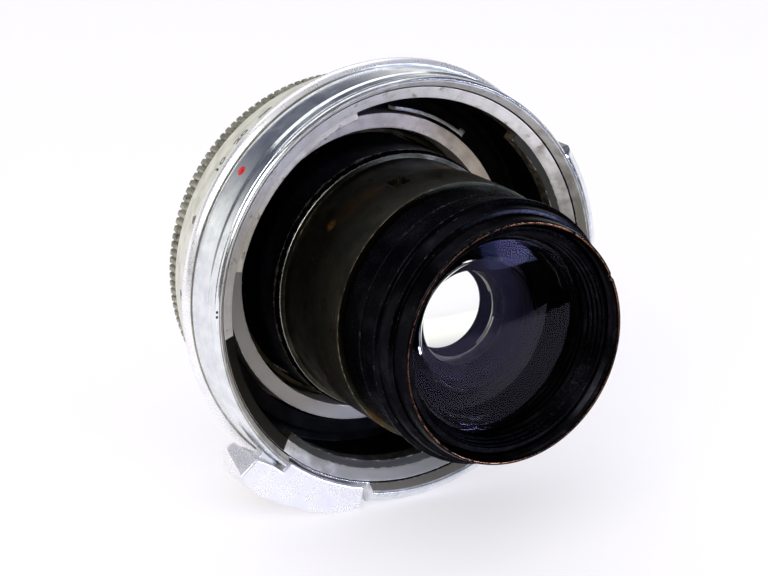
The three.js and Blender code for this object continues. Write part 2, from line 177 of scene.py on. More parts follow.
def metal(name, bright, dark, rough, metallic=1.0, marks=7.0, mark_depth=0.25,
          wear=None, wear_from=0.55, stain=None, stain_level=0.6, stain_scale=0.5, spots=(), painted_side_shade=None):
    """Turned and handled metal: lathe marks, uneven tone, worn edges and stains. Painted side shade is a
    colour, the side it darkens in degrees, and the cosines between which it starts and is full."""
    made = Finish(name)
    position = made.position()
    cloud = made.noise(position, 0.45, 4.0)
    fine = made.noise(position, 6.0, 3.0)
    rings = made.noise(made.turned(position), marks, 2.0)
    tone = made.mix(made.span(cloud, 0.35, 0.7), bright, dark)
    lined = made.mix(made.span(rings, 0.3, 0.8, 0.0, 0.35), tone, dark)
    colour = lined
    grime = None
    if stain:
        blotch = made.noise(position, stain_scale, 6.0, 0.62, 0.6)
        grime = made.span(blotch, stain_level - 0.05, stain_level + 0.08)
        colour = made.mix(grime, colour, stain)
    # Painted shade: the colour darkens towards one side of the ring, round the axis.
    if painted_side_shade:
        shade, side, low, high = painted_side_shade
        ragged = made.math("ADD", made.toward(position, side), made.span(cloud, 0.3, 0.7, -0.15, 0.15))
        colour = made.mix(made.span(ragged, low, high), colour, shade)
    for tint, spot, size in spots:
        ragged = made.math("MULTIPLY", made.near(position, spot, size), made.span(fine, 0.3, 0.6))
        colour = made.mix(ragged, colour, tint)
    if wear:
        uneven = made.span(made.noise(position, 1.6, 4.0), 0.2, 0.8, -0.4, 0.4)
        ragged = made.math("ADD", made.edge(), uneven)
        worn = made.span(ragged, wear_from, wear_from + 0.25)
        colour = made.mix(worn, colour, wear)
    made.feed(made.shader.inputs["Base Color"], colour)
    made.shader.inputs["Metallic"].default_value = metallic
    ground = made.span(cloud, 0.3, 0.7, rough[0], rough[1])
    gloss = made.math("ADD", made.span(fine, 0.3, 0.7, 0.0, 0.08), ground)
    if grime is not None:
        gloss = made.math("ADD", gloss, made.math("MULTIPLY", grime, 0.2), clamp=True)
    made.feed(made.shader.inputs["Roughness"], gloss)
    made.bump(made.math("ADD", rings, made.math("MULTIPLY", fine, 0.4)), mark_depth)
    return made.material


def painted(name, colour, worn, rough, wear_from=0.75, dust=None, marks=5.0, mark_depth=0.2, graze=0.5):
    """Black finish on metal, with faint lathe marks, dust, and bare metal at its worn edges."""
    made = Finish(name)
    position = made.position()
    cloud = made.noise(position, 0.5, 5.0)
    fine = made.noise(position, 5.0, 4.0)
    rings = made.noise(made.turned(position), marks, 2.0)
    lifted = tuple(min(1.0, c * 1.9 + 0.002) for c in colour[:3]) + (1.0,)
    shade = made.mix(made.span(cloud, 0.4, 0.75), colour, lifted)
    if dust:
        specks = made.span(made.noise(position, 3.2, 6.0, 0.7), 0.66, 0.74)
        shade = made.mix(specks, shade, dust)
    uneven = made.span(made.noise(position, 1.3, 5.0), 0.25, 0.75, -0.45, 0.35)
    ragged = made.math("ADD", made.edge(), uneven)
    bare = made.span(ragged, wear_from, wear_from + 0.15)
    shade = made.mix(bare, shade, worn)
    made.feed(made.shader.inputs["Base Color"], shade)
    made.shader.inputs["Metallic"].default_value = 1.0
    made.shader.inputs["Specular Tint"].default_value = (graze, graze, graze, 1)
    made.feed(made.shader.inputs["Roughness"], made.span(fine, 0.3, 0.7, rough[0], rough[1]))
    made.bump(made.math("ADD", rings, made.math("MULTIPLY", fine, 0.3)), mark_depth)
    return made.material


def glass(name, tint, index, coat):
    """Coated optical glass."""
    made = Finish(name)
    dust = made.noise(made.position(), 2.5, 6.0, 0.75)
    clear = (1.0, 1.0, 1.0, 1.0)
    made.feed(made.shader.inputs["Base Color"], made.mix(made.span(dust, 0.6, 0.8, 0.0, 0.3), clear, tint))
    made.shader.inputs["Roughness"].default_value = 0.0
    made.shader.inputs["Transmission Weight"].default_value = 1.0
    made.shader.inputs["IOR"].default_value = index
    made.shader.inputs["Specular Tint"].default_value = coat
    return made.material


def enamel(name, colour, darker):
    """Paint or ink filling a mark."""
    made = Finish(name)
    fine = made.noise(made.position(), 3.0, 4.0)
    made.feed(made.shader.inputs["Base Color"], made.mix(made.span(fine, 0.35, 0.7), colour, darker))
    made.feed(made.shader.inputs["Roughness"], made.span(fine, 0.3, 0.7, 0.22, 0.42))
    made.bump(fine, 0.3)
    return made.material


def matt_black(name, colour, paler):
    """Dull black lacquer on the edges and seats of the glass."""
    made = Finish(name)
    cloud = made.noise(made.position(), 0.6, 3.0)
    made.feed(made.shader.inputs["Base Color"], made.mix(made.span(cloud, 0.35, 0.7), colour, paler))
    made.shader.inputs["Roughness"].default_value = 0.9
    made.shader.inputs["Specular IOR Level"].default_value = 0.05
    return made.material


COPPER = rgb(168, 118, 88)
BRASS_WORN = rgb(176, 134, 66)
BROWN_WORN = rgb(92, 68, 42)
GREY_WORN = rgb(72, 70, 70)


def polar_spot(a, r, angle):
    """Point on the part in mm, as Finish.position gives it."""
    t = math.radians(angle)
    return (r * math.cos(t), a, r * math.sin(t))


chrome = metal("chrome", rgb(236, 238, 240), rgb(214, 218, 222), (0.09, 0.2), marks=5.0, mark_depth=0.1,
               wear=rgb(250, 250, 248), wear_from=0.9)
chrome_soft = metal("chrome_soft", rgb(244, 243, 244), rgb(234, 233, 236), (0.2, 0.32), metallic=0.7,
                    marks=1.2, mark_depth=0.05)
# Bevel: stains, and painted shade darkening it towards the lower right (-50 degrees round the axis).
stained_and_shaded_bevel = metal("stained_and_shaded_bevel", rgb(246, 243, 238), rgb(222, 217, 210), (0.34, 0.5), metallic=0.45,
                    marks=4.0, stain=rgb(184, 172, 154), stain_level=0.62, stain_scale=0.9,
                    wear=rgb(250, 248, 244), wear_from=0.95, painted_side_shade=(rgb(140, 136, 126), -50, -0.3, 0.5))
# Lug faces: stains, and painted shade darkening them towards the lower right (-50 degrees round the axis).
lug_metal = metal("lug_metal", rgb(232, 226, 216), rgb(196, 187, 174), (0.34, 0.5), metallic=0.45,
                  marks=4.0, stain=rgb(124, 110, 90), stain_level=0.6, stain_scale=0.8,
                  wear=rgb(150, 142, 130), wear_from=0.95, painted_side_shade=(rgb(40, 38, 32), -50, -0.5, -0.12))
# Bayonet walls: stains, and painted shade darkening them towards the bottom (-100 degrees round the axis).
wall_metal = metal("wall_metal", rgb(124, 112, 92), rgb(84, 74, 58), (0.34, 0.5), metallic=0.6,
                   marks=4.0, stain=rgb(44, 40, 30), stain_level=0.5, stain_scale=0.8,
                   painted_side_shade=(rgb(34, 31, 24), -100, -0.7, -0.1))
seam = metal("seam", rgb(200, 200, 198), rgb(150, 150, 150), (0.4, 0.55), metallic=0.5)
satin = metal("satin_scale", rgb(232, 230, 216), rgb(204, 204, 190), (0.34, 0.48), marks=9.0,
              mark_depth=0.3, wear=rgb(252, 250, 244), wear_from=0.9)
knurled = metal("knurled", rgb(186, 184, 168), rgb(140, 138, 122), (0.34, 0.5),
                stain=rgb(84, 82, 68), stain_level=0.6, stain_scale=1.4)
# Flat ring: stains and wear, and painted shade darkening it towards the bottom (-115 degrees round the
# axis).
raw = metal("raw_alloy", rgb(226, 212, 196), rgb(190, 178, 164), (0.42, 0.56), metallic=0.3,
            marks=3.0, mark_depth=0.6, stain=rgb(118, 104, 90), stain_level=0.66, stain_scale=1.3,
            wear=rgb(236, 232, 224), wear_from=0.8, painted_side_shade=(rgb(176, 172, 166), -115, -0.6, 0.4))
steel = metal("worn_steel", rgb(200, 198, 192), rgb(150, 146, 140), (0.28, 0.46),
              stain=rgb(96, 88, 76), stain_level=0.66, wear=rgb(236, 234, 230), wear_from=0.8)
brass = metal("bare_brass", rgb(190, 160, 100), rgb(132, 104, 58), (0.3, 0.5),
              stain=rgb(70, 58, 38), stain_level=0.6)
dark_brass = metal("dark_brass", rgb(60, 52, 36), rgb(30, 27, 20), (0.35, 0.5), stain=rgb(20, 18, 14))
olive = metal("oxidised_brass", rgb(66, 64, 52), rgb(38, 39, 32), (0.26, 0.42), marks=4.0,
              mark_depth=0.3, stain=rgb(72, 56, 36), stain_level=0.68, stain_scale=0.6,
              wear=rgb(128, 116, 88), wear_from=0.95,
              spots=[
                  (BRASS_WORN, polar_spot(20.3, 14.35, 139), 0.9),
                  (BROWN_WORN, polar_spot(19.6, 14.35, 130), 2.4),
                  (BROWN_WORN, polar_spot(18.9, 14.4, 118), 2.2),
                  (BRASS_WORN, polar_spot(18.6, 14.4, 62), 1.6),
                  (BROWN_WORN, polar_spot(18.6, 14.4, 74), 2.4),
                  (COPPER, polar_spot(18.6, 14.4, -152), 1.0),
                  (BROWN_WORN, polar_spot(12.6, 14.6, -134), 2.2),
              ])
black = painted("black_satin", (0.005, 0.005, 0.0065, 1), GREY_WORN, (0.2, 0.34), wear_from=1.12,
                mark_depth=0.1)
black_rim = painted("black_rim", (0.005, 0.005, 0.0065, 1), COPPER, (0.2, 0.34), wear_from=0.68)
well = painted("black_well", (0.007, 0.007, 0.0075, 1), rgb(60, 56, 50), (0.45, 0.65), wear_from=1.3,
               dust=rgb(44, 40, 34))
velvet = matt_black("velvet_black", (0.0006, 0.0006, 0.0009, 1), (0.0012, 0.0012, 0.0018, 1))
silver_black = painted("worn_silver", (0.012, 0.012, 0.018, 1), rgb(214, 210, 202), (0.25, 0.4),
                       wear_from=0.46)
ink = enamel("black_ink", (0.006, 0.006, 0.007, 1), (0.02, 0.02, 0.02, 1))
white_ink = enamel("white_ink", rgb(225, 222, 210), rgb(190, 186, 172))
red = enamel("red_enamel", rgb(192, 14, 22), rgb(146, 8, 14))

GLASS_TINT = rgb(253, 251, 247)
REAR_COAT = (0.05, 0.04, 0.1, 1)
INNER_COAT = (0.02, 0.015, 0.1, 1)
rear_coated = glass("rear_glass", GLASS_TINT, 1.62, REAR_COAT)
inner_coated = glass("inner_glass", GLASS_TINT, 1.6, INNER_COAT)
front_coated = glass("front_glass", GLASS_TINT, 1.7, INNER_COAT)


# ---- Shapes ----
def rounded(profile):
    """Closed outline with rounded corners. Corners are (axial, radius, fillet, finish index). The result
    adds how near each point is to an edge."""
    points = []
    count = len(profile)
    for i, (a, r, size, tag) in enumerate(profile):
        here = Vector((a, r))
        before = Vector(profile[i - 1][:2]) - here
        after = Vector(profile[(i + 1) % count][:2]) - here
        reach_before = min(size, FILLET_SHARE * before.length)
        reach_after = min(size, FILLET_SHARE * after.length)
        start = here + before.normalized() * reach_before
        end = here + after.normalized() * reach_after
        fade_before = min(reach_before + SUPPORT, FADE_SHARE * before.length)
        fade_after = min(reach_after + SUPPORT, FADE_SHARE * after.length)
        lead = here + before.normalized() * fade_before
        trail = here + after.normalized() * fade_after
        points.append((lead.x, lead.y, 0.0, profile[i - 1][3]))
        for step in range(FILLET_STEPS + 1):
            t = step / FILLET_STEPS
            p = start * (1 - t) ** 2 + here * (2 * t * (1 - t)) + end * t * t
            closeness = 1.0 if 0 < step < FILLET_STEPS else 0.6
            points.append((p.x, p.y, closeness, tag if step else profile[i - 1][3]))
        points.append((trail.x, trail.y, 0.0, tag))
    return points


def add_piece(name, vertices, faces, tags, edges, finishes, body, replaced, normals=True):
    """Makes a piece and sets it on its body. Tags choose each face's finish; edges say where wear shows."""
    mesh = bpy.data.meshes.new(name)
    mesh.from_pydata([tuple(v) for v in vertices], [], faces)
    for finish in finishes:
        mesh.materials.append(finish)
    for polygon, tag in zip(mesh.polygons, tags):
        polygon.material_index = tag
        polygon.use_smooth = True
    built = bmesh.new()
    built.from_mesh(mesh)
    bmesh.ops.recalc_face_normals(built, faces=built.faces)
    built.to_mesh(mesh)
    built.free()
    if edges:
        attribute = mesh.attributes.new("edge", "FLOAT", "POINT")
        attribute.data.foreach_set("value", edges)
    obj = bpy.data.objects.new(name, mesh)
    bpy.context.scene.collection.objects.link(obj)
    if normals:
        weighted = obj.modifiers.new("even_normals", "WEIGHTED_NORMAL")
        weighted.keep_sharp = True
    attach(obj, body)
    if replaced:
        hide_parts(*replaced)
    return obj


def swept(name, body, columns, finishes, replaced=()):
    """Ring made of outlines at successive angles, all with the same number of points."""
    vertices, edges, faces, tags = [], [], [], []
    size = len(columns[0][1])
    for angle, outline in columns:
        for a, r, closeness, _ in outline:
            vertices.append(place(a, r, angle))
            edges.append(closeness)
    count = len(columns)
    for c in range(count):
        following = (c + 1) % count
        for k in range(size):
            ahead = (k + 1) % size
            corners = (c * size + k, c * size + ahead, following * size + ahead, following * size + k)
            faces.append(corners)
            tags.append(columns[c][1][k][3])
    return add_piece(name, vertices, faces, tags, edges, finishes, body, replaced)


def turned_ring(name, body, profile, finishes, replaced=(), segments=SEGMENTS):
    outline = rounded(profile)
    columns = [(360 * i / segments, outline) for i in range(segments)]
    return swept(name, body, columns, finishes, replaced)


def angles_with_steps(steps, count=SEGMENTS, half=0.12):
    """Even angles round the ring, with a close pair at each step so that its wall is crisp."""
    found = [360 * i / count for i in range(count)]
    for step in steps:
        middle = step % 360
        found = [a for a in found if abs((a - middle + 180) % 360 - 180) > 3 * half]
        found += [(middle - half) % 360, (middle + half) % 360]
    return sorted(found)


def inside(angle, first, last):
    return (angle - first) % 360 < (last - first) % 360


# Mount shell: bright collar, thicker guard below the step, and the lever window.
GUARD = (-102.5, 33)
WINDOW = (-131.5, -102.5)
WELL_TAG = 2
shell_floor = [
    (27.1, 22.1, 0.05, WELL_TAG),
    (33.7, 22.1, 0.05, WELL_TAG),
    (33.7, 19.45, 0.05, WELL_TAG),
    (33.0, 19.45, 0.05, WELL_TAG),
    (33.0, 21.5, 0.1, WELL_TAG),
    (25.9, 21.5, 0.05, WELL_TAG),
    (25.9, 23.0, 0.05, WELL_TAG),
]


def shell_outline(angle):
    """Rim of the shell at an angle: cut down for the lever window, thick on the guard, else a collar."""
    if inside(angle, *WINDOW):
        rim = [(22.4, 22.95, 0.03, 0)]
        rim += [(22.42 + 0.3 * i, 23.02, 0.02, 0) for i in range(12)]
        rim += [(27.1, 23.02, 0.05, 0)]
        return rounded(rim + shell_floor)
    lip = [
        (22.4, 23.0, 0.06, 1),
        (21.5, 23.66, 0.05, 1),
        (21.62, 23.7, 0.03, 3),
        (21.62, 23.8, 0.03, 3),
        (21.42, 23.9, 0.05, 0),
    ]
    if inside(angle, *GUARD):
        rim = [
            (21.46, 24.2, 0.05, 0),
            (21.6, 24.4, 0.05, 0),
            (21.7, 24.5, 0.05, 0),
            (21.8, 24.6, 0.05, 0),
            (22.0, 24.8, 0.05, 0),
            (22.3, 25.1, 0.05, 0),
            (22.6, 25.28, 0.12, 0),
            (25.0, 25.28, 0.1, 0),
            (27.24, 25.28, 0.08, 0),
        ]
    else:
        rim = [
            (21.64, 24.12, 0.05, 0),
            (21.92, 24.15, 0.03, 0),
            (21.96, 24.07, 0.02, 3),
            (22.06, 24.07, 0.02, 0),
            (22.12, 24.16, 0.03, 0),
            (23.25, 24.2, 0.05, 0),
            (23.5, 24.36, 0.04, 0),
            (24.6, 24.36, 0.04, 0),
            (27.24, 24.36, 0.06, 0),
        ]
    return rounded(lip + rim + shell_floor)


shell_angles = angles_with_steps([GUARD[0], GUARD[1], WINDOW[0]])
swept("shell", "mount", [(a, shell_outline(a)) for a in shell_angles], [chrome, stained_and_shaded_bevel, well, seam],
      ["mount_shell"])

# Bayonet ring with three lugs, and dark strips of painted shade beside them: where each strip is, how
# # wide it is and how far it leans, all in degrees.
LUG_ENDS = [167, 47, -73]
LUG_SPAN = 61
BROWN_BEVEL = (186, 226)
SHADE_STRIPS = [(167.0, 0.9, -4.5), (24.5, 0.9, 3.0), (-81.0, 0.9, 3.0)]


def bayonet_outline(angle):
    lug = any(inside(angle, end - LUG_SPAN, end) for end in LUG_ENDS)
    inner = 20.6 if lug else 21.49
    face = 1 if lug else 2
    brown = inside(angle, *BROWN_BEVEL) and not lug
    return rounded([
        (22.5, 22.84, 0.05, 0),
        (25.5, 22.7, 0.05, 2),
        (25.5, 21.5, 0.05, 2),
        (25.2, 21.5, 0.03, 2),
        (25.2, inner, 0.08, 2),
        (23.4, inner, 0.15, face),
        (23.3, 21.5 if lug else 21.495, 0.05, face),
        (23.2, 21.5, 0.05, 2 if brown else 0),
    ])


bayonet_angles = angles_with_steps([end for end in LUG_ENDS] + [end - LUG_SPAN for end in LUG_ENDS])
swept("bayonet", "mount", [(a, bayonet_outline(a)) for a in bayonet_angles],
      [stained_and_shaded_bevel, lug_metal, wall_metal], ["bayonet_ring"])


def bar(name, body, corners, finish, replaced=(), bevel=0.04, segments=2):
    """Closed solid between two matching outlines, with bevelled edges."""
    first, second = corners
    count = len(first)
    vertices = list(first) + list(second)
    faces = [tuple(range(count)), tuple(range(2 * count - 1, count - 1, -1))]
    for i in range(count):
        j = (i + 1) % count
        faces.append((i, i + count, j + count, j))
    tags = [0] * len(faces)
    obj = add_piece(name, vertices, faces, tags, None, [finish], body, replaced, normals=False)
    shaped = obj.modifiers.new("bevel", "BEVEL")
    shaped.width = bevel * MM
    shaped.segments = segments
    shaped.limit_method = "ANGLE"
    shaped.angle_limit = math.radians(28)
    weighted = obj.modifiers.new("even_normals", "WEIGHTED_NORMAL")
    weighted.keep_sharp = True
    return obj


# Painted shade: dark strips let into the bevel, standing for shadow lines.
for index, (angle, width, skew) in enumerate(SHADE_STRIPS):
    half = width / 2
    outline = [(22.62, 22.75, angle - half), (22.62, 22.75, angle + half),
               (23.24, 21.5, angle + half + skew), (23.24, 21.5, angle - half + skew)]
    top = [place(a - 0.03, r, t) for a, r, t in outline]
    under = [place(a + 0.25, r, t) for a, r, t in outline]
    bar(f"bayonet_shade_strip_{index + 1}", "mount", (top, under), ink, bevel=0.02)


def plate_piece(name, body, outline, start, end, finish, replaced=(), bevel=0.15, segments=3):
    """Flat piece across the axis. Its outline is (radius, angle) points, and it runs from start to end."""
    near_face = [place(start, r, angle) for r, angle in outline]
    far_face = [place(end, r, angle) for r, angle in outline]
    return bar(name, body, (near_face, far_face), finish, replaced, bevel, segments)


# Ear that carries the lever pin.
EAR_ANGLE = -134
plate_piece("shell_ear", "mount", [
    (23.6, EAR_ANGLE - 3.2),
    (23.6, EAR_ANGLE + 2.4),
    (26, EAR_ANGLE + 2.4),
    (27, EAR_ANGLE + 1.2),
    (27, EAR_ANGLE - 1.2),
    (26, EAR_ANGLE - 3.2),
], 23.5, 25.1, chrome, bevel=0.12)

# Red mark let into the shell.
DOT_A, DOT_ANGLE, DOT_RADIUS = 25.5, 141, 0.6


def dome(name, body, a, angle, base, height, radius, finish, replaced):
    """Round mark standing a little proud of a round surface of radius base."""
    centre = place(a, base, angle)
    outward = (place(a, base + 1, angle) - centre).normalized()
    along = Vector((0, 1, 0))
    sideways = outward.cross(along)
    vertices, faces = [], []
    around, rings = 32, 6
    for ring in range(rings):
        t = ring / (rings - 1) * math.pi / 2
        lift = height * math.sin(t)
        reach = radius * math.cos(t)
        for i in range(around):
            turn = 2 * math.pi * i / around
            shift = along * math.cos(turn) + sideways * math.sin(turn)
            vertices.append(centre + outward * lift * MM + shift * max(reach, 0.01) * MM)
    for ring in range(rings - 1):
        for i in range(around):
            j = (i + 1) % around
            low, high = ring * around, (ring + 1) * around
            faces.append((low + i, low + j, high + j, high + i))
    faces.append(tuple(range(around - 1, -1, -1)))
    faces.append(tuple((rings - 1) * around + i for i in range(around)))
    return add_piece(name, vertices, faces, [0] * len(faces), None, [finish], body, replaced)


dome("red_mark", "mount", DOT_A, DOT_ANGLE, 24.33, 0.12, DOT_RADIUS, red, ["index_dot"])
for index, angle in enumerate((177.0, 178.3)):
    dome(f"rim_mark_{index + 1}", "mount", 21.6, angle, 24.08, 0.12, 0.16, ink, [])

# ---- Focusing group ----
scale_profile = [
    (27.4, 22.45, 0.05, 0),
    (27.4, 24.5, 0.05, 1),
    (27.85, 25.05, 0.3, 1),
    (28.4, 25.05, 0.2, 1),
    (28.6, 24.85, 0.05, 0),
    (36.8, 21.9, 0.1, 0),
    (36.8, 18.5, 0.05, 0),
    (36.0, 18.5, 0.05, 0),
    (36.0, 21.2, 0.05, 0),
    (34.2, 21.4, 0.05, 0),
    (34.0, 22.45, 0.05, 0),
]
turned_ring("distance_scale", "focus_group", scale_profile, [satin, chrome_soft], ["scale_ring"])

TEETH = 144
GRIP_FROM, GRIP_TO = 37.0, 40.1
GRIP_TIP, GRIP_ROOT, GRIP_BORE = 21.2, 20.9, 20.7


def grip_outline(radius):
    return rounded([
        (GRIP_FROM, GRIP_BORE, 0.05, 0),
        (GRIP_FROM, radius - 0.1, 0.08, 0),
        (GRIP_FROM + 0.25, radius, 0.08, 0),
        (GRIP_TO - 0.25, radius, 0.08, 0),
        (GRIP_TO, radius - 0.1, 0.08, 0),
        (GRIP_TO, GRIP_BORE, 0.05, 0),
    ])


TOOTH_PITCH = 360 / TEETH
tip = grip_outline(GRIP_TIP)
middle = grip_outline((GRIP_TIP + GRIP_ROOT) / 2 + 0.05)
root = grip_outline(GRIP_ROOT)
TOOTH = [(-0.26, tip), (0.0, tip), (0.26, tip), (0.36, middle), (0.44, root), (0.56, root), (0.64, middle)]
grip_columns = []
for tooth in range(TEETH):
    for part, outline in TOOTH:
        grip_columns.append((tooth * TOOTH_PITCH + part * TOOTH_PITCH, outline))
swept("knurled_grip", "focus_group", grip_columns, [knurled], ["grip_ring"])

turned_ring("focus_nut_face", "focus_group", [
    (31.0, 16.45, 0.08, 0),
    (31.0, 18.15, 0.08, 0),
    (37.1, 18.15, 0.05, 0),
    (37.1, 20.6, 0.05, 0),
    (37.8, 20.6, 0.05, 0),
    (37.8, 16.45, 0.05, 0),
], [raw], ["focus_nut"])

TONGUE = (49, 81)
TONGUE_TIP = (49, 51.8)


def coupling_outline(angle):
    tongue = inside(angle, *TONGUE)
    reach = 31.0 if tongue else 31.99
    tab = 21.2 if inside(angle, 197, 203) else 20.3
    outer = 19.3 if inside(angle, *TONGUE_TIP) else 18.95
    return rounded([
        (reach, 18.5, 0.08, 1 if tongue else 0),
        (reach, outer, 0.08, 0),
        (31.995, outer, 0.01, 0),
        (32.0, tab, 0.05, 0),
        (32.6, tab, 0.05, 0),
        (32.6, 19.1, 0.05, 0),
        (35.7, 19.1, 0.05, 0),
        (35.7, 18.45, 0.05, 0),
    ])


coupling_angles = angles_with_steps([*TONGUE, TONGUE_TIP[1], 197, 203])
swept("coupling", "focus_group", [(a, coupling_outline(a)) for a in coupling_angles], [well, steel],
      ["coupling_ring"])


# Engraved and filled numerals on the cone of the distance scale.
CONE = ((28.6, 24.85), (36.8, 21.9))
INK_LEVELS = (0.03, -0.06)  # mm above and below the surface
CAPITAL = 0.7  # height of a figure over the size of its type


def cone_point(along, angle, lift):
    """Point on the scale cone, along mm forward of the bead."""
    (a0, r0), (a1, r1) = CONE
    run = math.hypot(a1 - a0, r1 - r0)
    t = along / run
    rise = (a1 - a0) / run
    return place(a0 + (a1 - a0) * t, r0 + (r1 - r0) * t + lift * rise, angle)


def numeral(name, text, angle, start, height, body, point, radius, finish):
    """Generic scale numeral laid on a round surface, with its foot at start and its head beyond."""
    curve = bpy.data.curves.new(name, "FONT")
    curve.body = text
    curve.align_x = "CENTER"
    curve.size = height / CAPITAL
    curve.offset = 0.02 * height
    holder = bpy.data.objects.new(name + "_outline", curve)
    bpy.context.scene.collection.objects.link(holder)
    bpy.context.view_layer.update()
    flat = bpy.data.meshes.new_from_object(holder.evaluated_get(bpy.context.evaluated_depsgraph_get()))
    bpy.data.objects.remove(holder)
    count = len(flat.vertices)
    vertices = []
    for lift in INK_LEVELS:
        for v in flat.vertices:
            vertices.append(point(start + v.co.y, angle - math.degrees(v.co.x / radius), lift))
    faces, border = [], {}
    for polygon in flat.polygons:
        ids = list(polygon.vertices)
        faces.append(tuple(ids))
        faces.append(tuple(i + count for i in reversed(ids)))
        for i, j in zip(ids, ids[1:] + ids[:1]):
            if (j, i) in border:
                del border[(j, i)]
            else:
                border[(i, j)] = True
    for i, j in border:
        faces.append((i, i + count, j + count, j))
    tags = [0] * len(faces)
    return add_piece(name, vertices, faces, tags, None, [finish], body, [], normals=False)


DISTANCES = [("inf", "∞", 124), ("20", "20", 133), ("10", "10", 142.2), ("6", "6", 157.8), ("4", "4", 178),
             ("3", "3", 200), ("2", "2", 228), ("1_5", "1.5", 257), ("1_2", "1.2", 281), ("1", "1", 304)]
DISTANCE_FOOT, DISTANCE_HEIGHT, DISTANCE_RADIUS = 1.2, 1.6, 24.4
for name, text, angle in DISTANCES:
    numeral(f"distance_{name}", text, angle, DISTANCE_FOOT, DISTANCE_HEIGHT, "focus_group", cone_point,
            DISTANCE_RADIUS, ink)

# ---- Optical barrel ----
NOTCH = (103, 110)
KEYWAY = (-40.5, -29.5)


def barrel_outline(angle):
    cut = 13.7 if inside(angle, *NOTCH) else None
    key = 14.55 if inside(angle, *KEYWAY) else None
    return rounded([
        (12.1, 13.4, 0.05, 0),
        (12.1, 14.6, 0.08, 0),
        (16.4, 14.6, 0.02, 0),
        (16.42, cut or 14.6, 0.02, 0),
        (18.5, cut or 14.6, 0.03, 0),
        (18.7, cut or 14.35, 0.03, 0),
        (19.18, cut or 14.35, 0.02, 0),
        (19.2, 14.35, 0.02, 0),
        (24.8, 14.35, 0.03, 0),
        (24.85, key or 14.85, 0.06, 1),
        (25.7, key or 15.15, 0.08, 1),
        (33.0, key or 15.15, 0.02, 1),
        (33.02, 15.15, 0.02, 1),
        (38.2, 15.15, 0.05, 1),
        (38.2, 13.4, 0.05, 1),
    ])


barrel_angles = angles_with_steps([*NOTCH, *KEYWAY])
swept("barrel", "optical_block", [(a, barrel_outline(a)) for a in barrel_angles], [olive, silver_black],
      ["main_barrel"])

# Helicoid sleeve with turned thread.
thread = [(33.3, 15.45, 0.03, 0)]
threads = 7
for i in range(threads):
    start = 33.3 + i * 0.7
    thread += [(start + 0.02, 15.95, 0.03, 0), (start + 0.3, 16.15, 0.03, 0), (start + 0.5, 16.15, 0.03, 0),
               (start + 0.66, 15.95, 0.03, 0)]
thread += [(38.2, 15.45, 0.03, 0)]
turned_ring("helicoid_thread", "optical_block", thread, [dark_brass], ["helicoid_sleeve"])

# Rear cell: stepped black barrel, worn rim, fine threads inside.
RIM_NOTCH = (23.6, 26.6)


def rear_thread(first, last, count, radius, depth):
    """Corners of a fine inside thread, from the far end back to the near one."""
    points = []
    pitch = (last - first) / count
    for i in range(count):
        start = last - i * pitch
        points.append((start - 0.1 * pitch, radius, 0.015, 0))
        points.append((start - 0.6 * pitch, radius - depth, 0.015, 0))
    return points


def rear_outline(angle):
    notch = inside(angle, *RIM_NOTCH)
    return rounded([
        (0.35 if notch else 0.0, 12.98, 0.05, 1),
        (0.35 if notch else 0.0, 13.12, 0.04, 0),
        (0.36 if notch else 0.12, 13.25, 0.05, 0),
        (0.6, 13.33, 0.03, 0),
        (2.5, 13.45, 0.05, 0),
        (2.62, 13.95, 0.06, 0),
        (4.2, 14.15, 0.06, 0),
        (4.4, 14.6, 0.06, 0),
        (5.0, 14.6, 0.06, 0),
        (5.3, 14.1, 0.05, 0),
        (8.0, 14.1, 0.04, 0),
        (8.1, 14.02, 0.03, 0),
        (8.25, 14.02, 0.03, 0),
        (8.35, 14.1, 0.04, 0),
        (11.8, 14.1, 0.05, 0),
        (11.8, 13.0, 0.05, 0),
        (12.8, 13.0, 0.05, 0),
        (12.8, 8.0, 0.05, 2),
        (9.0, 8.0, 0.05, 2),
        (8.4, 11.8, 0.05, 2),
        (3.2, 11.8, 0.04, 0),
        (3.2, 12.6, 0.04, 0),
        *rear_thread(0.5, 2.9, 8, 12.8, 0.16),
        (0.3, 12.84, 0.03, 0),
    ])


rear_angles = angles_with_steps(list(RIM_NOTCH))
swept("rear_barrel", "optical_block", [(a, rear_outline(a)) for a in rear_angles],
      [black, black_rim, velvet], ["rear_cell"])

# Glass retainer with three ridges.
turned_ring("glass_retainer", "optical_block", [
    (1.3, 12.3, 0.03, 0),
    (2.9, 12.3, 0.03, 0),
    (2.9, 11.5, 0.03, 0),
    (3.5, 11.5, 0.03, 0),
    (3.5, 10.75, 0.03, 0),
    (3.1, 11.0, 0.03, 0),
    (2.7, 11.05, 0.03, 0),
    (2.6, 11.25, 0.03, 0),
    (2.2, 11.3, 0.03, 0),
    (2.1, 11.5, 0.03, 0),
    (1.7, 11.55, 0.03, 0),
    (1.6, 11.75, 0.03, 0),
    (1.3, 11.8, 0.03, 0),
], [black], ["rear_retainer"])


# ---- Glass ----
def element_outline(rear_apex, rear_radius, front_apex, front_radius, edge, rings=14):
    """Half section of an element: from the rear apex out to the edge and back to the front apex."""
    def sag(radius, r):
        return math.copysign(abs(radius) - math.sqrt(radius * radius - r * r), radius)
    reaches = [edge * i / rings for i in range(rings + 1)]
    outline = [(rear_apex + sag(rear_radius, r), r) for r in reaches]
    outline += [(front_apex + sag(front_radius, r), r) for r in reversed(reaches)]
    return outline


